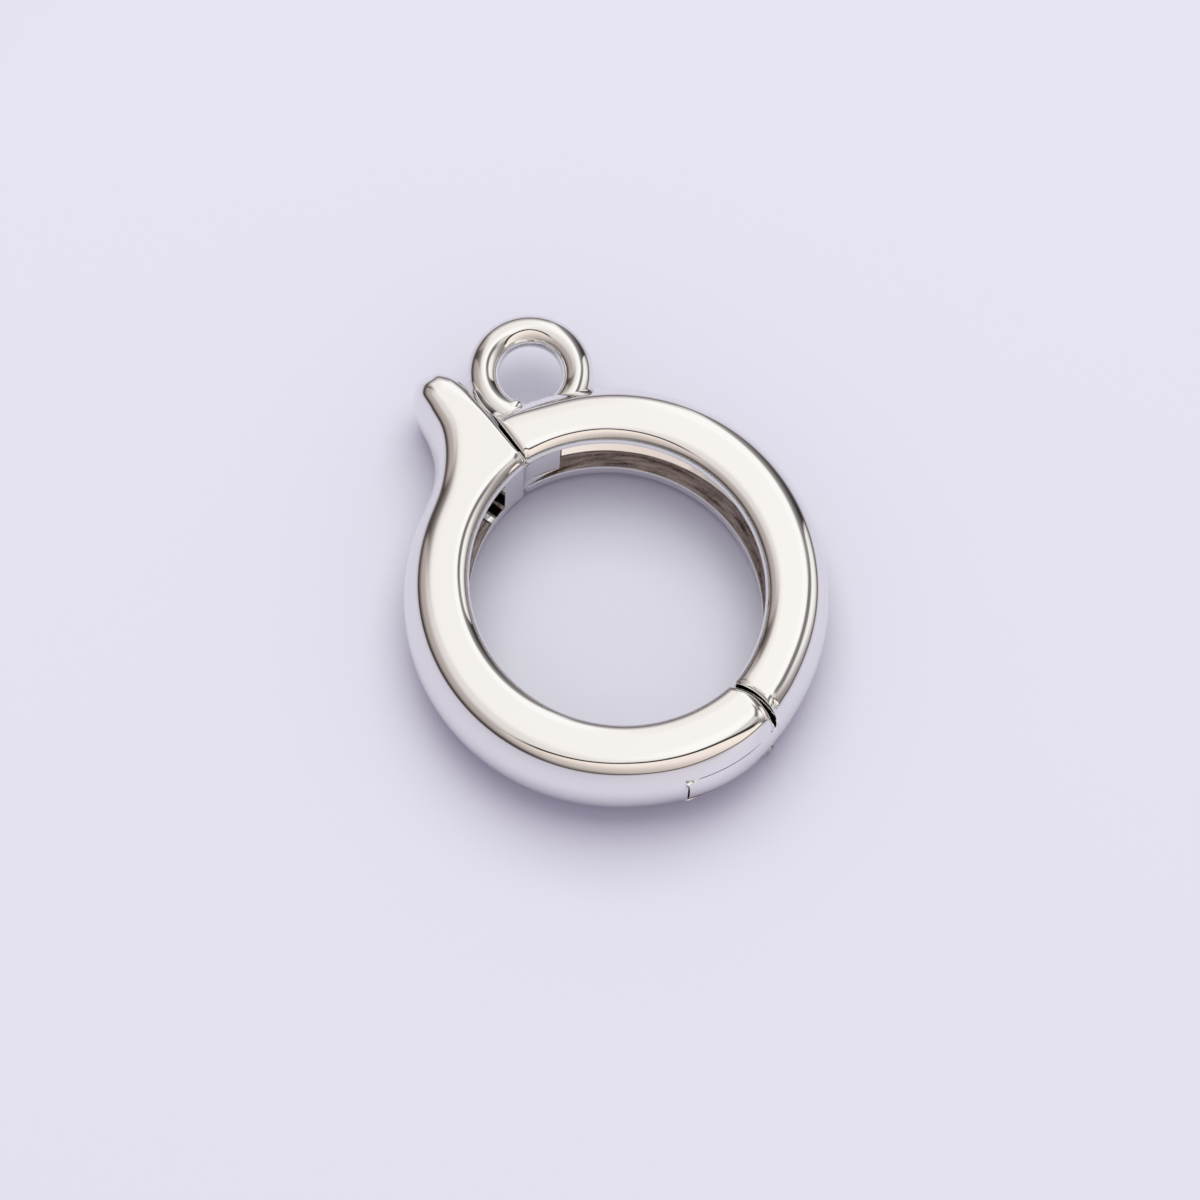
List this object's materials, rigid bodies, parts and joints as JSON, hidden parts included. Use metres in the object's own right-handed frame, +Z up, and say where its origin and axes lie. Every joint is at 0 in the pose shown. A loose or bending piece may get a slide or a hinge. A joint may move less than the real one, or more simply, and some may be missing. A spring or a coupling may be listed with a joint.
{
  "type": "charm holder ring",
  "caption": "Polished hinged ring clasp with a thumb horn and a soldered wire bail, for holding charms on a chain.",
  "frame": {"origin": "on the ring's axis, at the face that it rests on", "axes": "+Z up along the ring's axis, +Y from the axis to the bail, +X to the right of the bail"},
  "size_m": [0.0151, 0.0186, 0.004],
  "materials": {
    "bail_half_plate": "mirror polished rhodium plate, as cast inside the channel",
    "horn_half_plate": "mirror polished rhodium plate, as cast inside the channel",
    "pin_steel": "drawn wire"
  },
  "bodies": {
    "bail_side": {"bail_half": "bail_half_plate"},
    "horn_side": {"horn_half": "horn_half_plate", "hinge_pin": "pin_steel"}
  },
  "joints": [
    {"name": "hinge", "type": "hinge", "parent": "bail_side", "child": "horn_side", "pos_m": [0.00135, -0.00662, 0.002], "axis": [0, 0, 1], "range_deg": [0, 40]}
  ]
}
